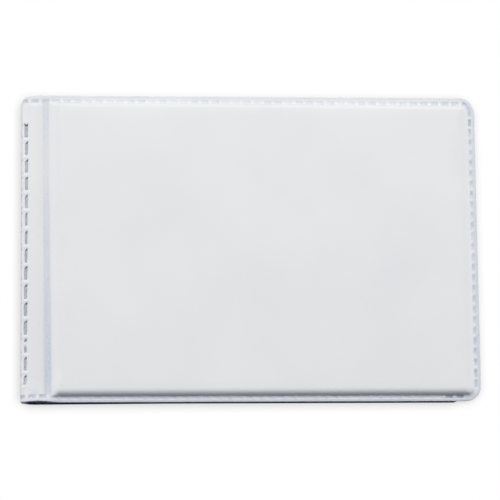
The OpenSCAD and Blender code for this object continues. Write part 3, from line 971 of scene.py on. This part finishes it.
def leafRoot():
    # leaf margins fused into one strip, ribbed where each leaf runs in, and coloured dark as painted shade
    # inside the spine
    sheet = SheetMesh()
    count = len(leafNames)
    z = np.linspace(rootLow.z, rootHigh.z, count * 6 + 1)
    waist = leaf["waist"] * np.abs(np.sin((z - rootLow.z) / (rootHigh.z - rootLow.z) * math.pi * count))
    right = rootLow.x + leaf["rootW"] - leaf["waist"] + waist
    profile = np.concatenate([np.stack([np.full(z.shape, rootLow.x), z], -1), np.stack([right, z], -1)[::-1]])
    y = np.linspace(rootLow.y, rootHigh.y - leaf["rootTrim"], 40)
    points = np.stack([np.repeat(profile[:, None, 0], len(y), 1), np.tile(y, (len(profile), 1)),
                       np.repeat(profile[:, None, 1], len(y), 1)], -1)
    ids = sheet.add(points, points[..., :2])
    sheet.quads(np.vstack([ids, ids[:1]]))
    for end in (0, -1):
        half = len(z)
        sheet.band(ids[:half, end], ids[half:, end][::-1])
    piece = sheet.build("leaf_root", darkPaintedRootFilm, ("sheetX", "sheetY"))
    piece.data.materials.append(paintedDarkFilmEdge)
    for polygon in piece.data.polygons:
        polygon.material_index = int(abs(polygon.normal.y) > 0.5)
    return piece


root = leafRoot()
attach(root, "spine")
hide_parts("leaf_binding")
print("leaves:", len(leafNames))


# Camera, lamps and floor; angles in degrees, lengths of the shot in millimetres
shot = {
    "azimuth": -31.19, "elevation": 80.21, "roll": 30.96,
    "distance": 536.8, "target": (-0.29, -0.40, 5.0), "lens": 162.5, "sensor": 36,
}


def addCamera():
    azimuth, elevation, roll = (math.radians(shot[key]) for key in ("azimuth", "elevation", "roll"))
    level = math.cos(elevation)
    back = Vector((math.sin(azimuth) * level, -math.cos(azimuth) * level, math.sin(elevation)))
    right = Vector((math.cos(azimuth), math.sin(azimuth), 0))
    up = back.cross(right)
    rolledRight = right * math.cos(roll) + up * math.sin(roll)
    rolledUp = up * math.cos(roll) - right * math.sin(roll)
    camera = bpy.data.objects.new("camera", bpy.data.cameras.new("camera"))
    camera.data.lens = shot["lens"]
    camera.data.sensor_width = shot["sensor"]
    camera.data.clip_start = 0.01
    place = (Vector(shot["target"]) + back * shot["distance"]) * mm
    turn = Matrix((rolledRight, rolledUp, back)).transposed().to_4x4()
    camera.matrix_world = Matrix.Translation(place) @ turn
    scene.collection.objects.link(camera)
    scene.camera = camera


# share is the part of a level surface's light that a lamp gives, so white renders as written where the sum is
# about 1. Places and sizes are in metres.
lamps = {
    "back_softbox": {"place": (0, 0.74, 1.35), "size": (1.2, 0.7), "share": 0.92, "colour": "#FFFEF9"},
    "left_wall": {"place": (-0.9, 0.15, 0.15), "size": (0.4, 0.3), "share": 0.05, "colour": "#FFFFFF"},
    "right_wall": {"place": (0.9, 0.15, 0.15), "size": (0.4, 0.3), "share": 0.047, "colour": "#FFFFFF"},
}


def addLamps():
    for name, lamp in lamps.items():
        place = Vector(lamp["place"])
        light = bpy.data.lights.new(name, "AREA")
        light.shape = "RECTANGLE"
        light.size, light.size_y = lamp["size"]
        light.color = hexLinear(lamp["colour"])[:3]
        light.energy = lamp["share"] * math.pi ** 2 * place.length_squared * place.length / place.z
        holder = bpy.data.objects.new(name, light)
        holder.location = place
        holder.rotation_euler = (-place).to_track_quat("-Z", "Y").to_euler()
        scene.collection.objects.link(holder)


surround = {
    "white": "#FFFFFF", "ambient": "#86A9F0", "ambientShare": 0.1,
    "floor": "#6E6E6E", "floorHalfM": 2, "floorRoughness": 0.9,
    # painted contact shadow on the floor: its reach, where it starts, its darkest level and its tilt
    "paintedShadowMm": 2.8, "paintedShadowFrom": 0.35, "paintedShadowDark": 0.5, "paintedShadowTilt": (-0.2, -0.25, 0.95),
}


def seenDirectly(tree):
    # 1 for rays from the camera, from gloss and through film
    path = addNode(tree, "ShaderNodeLightPath")
    seen = addNode(tree, "ShaderNodeMath", {"operation": "MAXIMUM"},
                   {0: path.outputs["Is Camera Ray"], 1: path.outputs["Is Glossy Ray"]}).outputs[0]
    return addNode(tree, "ShaderNodeMath", {"operation": "MAXIMUM"},
                   {0: seen, 1: path.outputs["Is Transmission Ray"]}).outputs[0]


def addSurround():
    world = bpy.data.worlds.new("studio")
    scene.world = world
    world.use_nodes = True
    tree = world.node_tree
    tree.nodes.clear()
    shades = ((surround["ambient"], surround["ambientShare"]), (surround["white"], 1))
    dim, white = [addNode(tree, "ShaderNodeBackground", None, {"Color": hexLinear(code), "Strength": share})
                  for code, share in shades]
    mixed = addNode(tree, "ShaderNodeMixShader", None,
                    {0: seenDirectly(tree), 1: dim.outputs[0], 2: white.outputs[0]})
    addNode(tree, "ShaderNodeOutputWorld", None, {"Surface": mixed.outputs[0]})

    mesh = bpy.data.meshes.new("floor")
    corners = [(x * surround["floorHalfM"], y * surround["floorHalfM"], 0)
               for x, y in ((-1, -1), (1, -1), (1, 1), (-1, 1))]
    mesh.from_pydata(corners, [], [(0, 1, 2, 3)])
    floor = bpy.data.objects.new("floor", mesh)
    scene.collection.objects.link(floor)
    # smooth white paper, matte and even: plain white to the eye, with the book's contact shadow painted into
    # its glow from an ambient occlusion node, tilted so it falls darker beside the top and fore edges
    material, tree, shader = newMaterial("white paper sweep")
    shader.inputs["Base Color"].default_value = hexLinear(surround["floor"])
    shader.inputs["Roughness"].default_value = surround["floorRoughness"]
    tilt = addNode(tree, "ShaderNodeCombineXYZ", None, dict(zip("XYZ", surround["paintedShadowTilt"]))).outputs[0]
    # painted shadow: ambient occlusion darkens the paper's glow round the book
    paintedShadow = addNode(tree, "ShaderNodeAmbientOcclusion", {"samples": 16},
                      {"Distance": surround["paintedShadowMm"] * mm, "Normal": tilt})
    level = addNode(tree, "ShaderNodeMapRange", None, {
        "Value": paintedShadow.outputs["AO"], "From Min": surround["paintedShadowFrom"],
        "To Min": surround["paintedShadowDark"]}).outputs[0]
    paper = addNode(tree, "ShaderNodeEmission", None, {
        "Color": hexLinear(surround["white"]), "Strength": level})
    mixed = addNode(tree, "ShaderNodeMixShader", None,
                    {0: seenDirectly(tree), 1: shader.outputs[0], 2: paper.outputs[0]})
    out = next(n for n in tree.nodes if n.type == "OUTPUT_MATERIAL")
    tree.links.new(mixed.outputs[0], out.inputs["Surface"])
    mesh.materials.append(material)


addCamera()
addLamps()
addSurround()
scene.view_settings.view_transform = "Standard"
scene.cycles.transparent_max_bounces = 64  # both faces of all the films and seals, and some to spare
print("stage ready")
